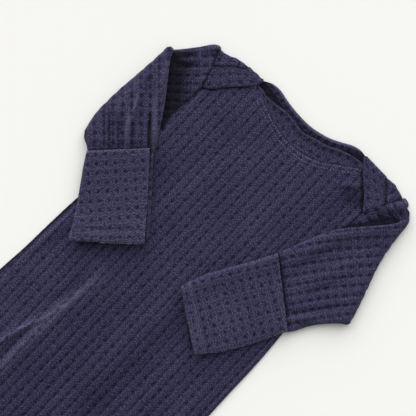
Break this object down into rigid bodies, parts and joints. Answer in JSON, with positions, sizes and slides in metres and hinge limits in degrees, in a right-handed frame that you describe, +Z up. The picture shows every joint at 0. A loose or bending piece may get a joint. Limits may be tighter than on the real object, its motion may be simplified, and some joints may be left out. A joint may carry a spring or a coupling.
{
  "type": "waffle-knit baby sleep gown, laid flat",
  "caption": "Baby's long-sleeved sleep gown in navy waffle knit, with lap shoulders and fold-over mitten cuffs, laid flat with both sleeves folded over the front.",
  "frame": {"origin": "on the surface the gown lies on, under the middle of its length, on the centre line of the body", "axes": "+Z up from the surface, +Y along the body from hem to neck, +X to the right as the front is seen from above with the neck up"},
  "size_m": [0.2744, 0.5597, 0.0124],
  "materials": {
    "body_waffle": "matte waffle knit",
    "cuff_waffle": "matte waffle knit, a little lighter",
    "neck_binding": "matte knit binding"
  },
  "bodies": {
    "root": {"back_panel": "body_waffle", "front_panel": "body_waffle", "neckband_back": "neck_binding", "neckband_front": "neck_binding", "sleeve_right": "body_waffle", "sleeve_left": "body_waffle", "cuff_right": "cuff_waffle", "cuff_left": "cuff_waffle"}
  },
  "joints": []
}
